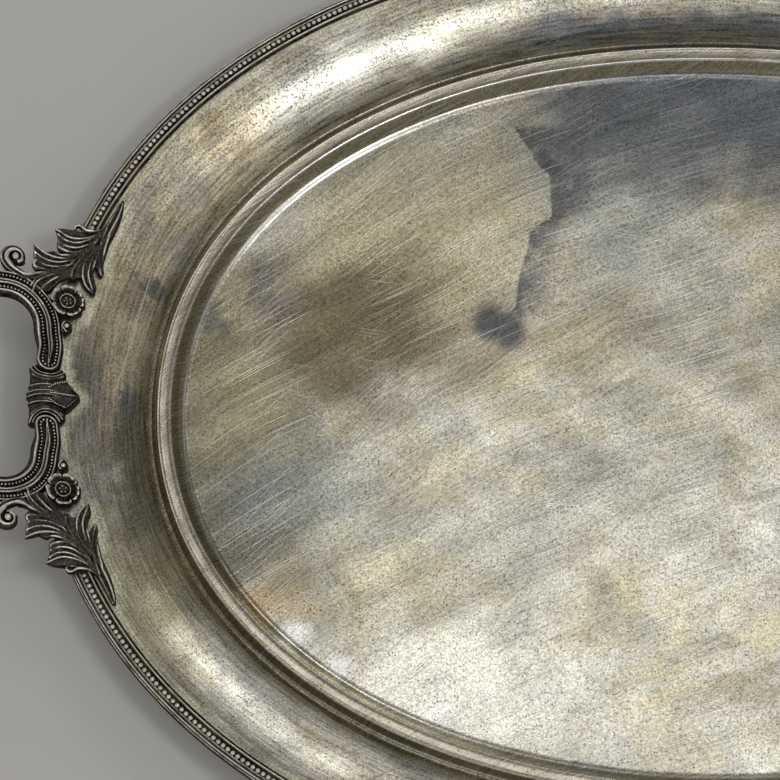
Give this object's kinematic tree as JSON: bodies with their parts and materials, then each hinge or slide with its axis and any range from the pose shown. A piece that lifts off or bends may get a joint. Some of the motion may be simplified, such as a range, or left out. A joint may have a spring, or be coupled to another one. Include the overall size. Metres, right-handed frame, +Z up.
{
  "type": "serving tray",
  "caption": "Large oval silver-plated serving tray with a flat floor, raised ledge, broad flange, beaded border and cast loop handles.",
  "frame": {"origin": "centre of the flat underside of the floor, on the plane that the tray rests on", "axes": "+X along the tray's long axis towards one handle, +Y across it towards the back, +Z up"},
  "size_m": [0.6466, 0.4208, 0.0476],
  "materials": {
    "worn_silver_plate": "silver plate, worn and tarnished, with fine scratches",
    "border_silver": "silver plate with dark oxide in the grooves",
    "oxidised_cast_silver": "cast and plated, oxidised in the hollows and polished on the crests"
  },
  "bodies": {
    "root": {"tray_sheet": "worn_silver_plate", "border_back": "border_silver", "border_front": "border_silver", "grip_left": "oxidised_cast_silver", "collar_left": "oxidised_cast_silver", "collar_leaf_left": "oxidised_cast_silver", "scroll_arm_left_back": "oxidised_cast_silver", "scroll_arm_left_front": "oxidised_cast_silver", "acanthus_left_back": "oxidised_cast_silver", "acanthus_left_front": "oxidised_cast_silver", "rosette_left_back": "oxidised_cast_silver", "rosette_left_front": "oxidised_cast_silver", "grip_right": "oxidised_cast_silver", "collar_right": "oxidised_cast_silver", "collar_leaf_right": "oxidised_cast_silver", "scroll_arm_right_back": "oxidised_cast_silver", "scroll_arm_right_front": "oxidised_cast_silver", "acanthus_right_back": "oxidised_cast_silver", "acanthus_right_front": "oxidised_cast_silver", "rosette_right_back": "oxidised_cast_silver", "rosette_right_front": "oxidised_cast_silver"}
  },
  "joints": []
}
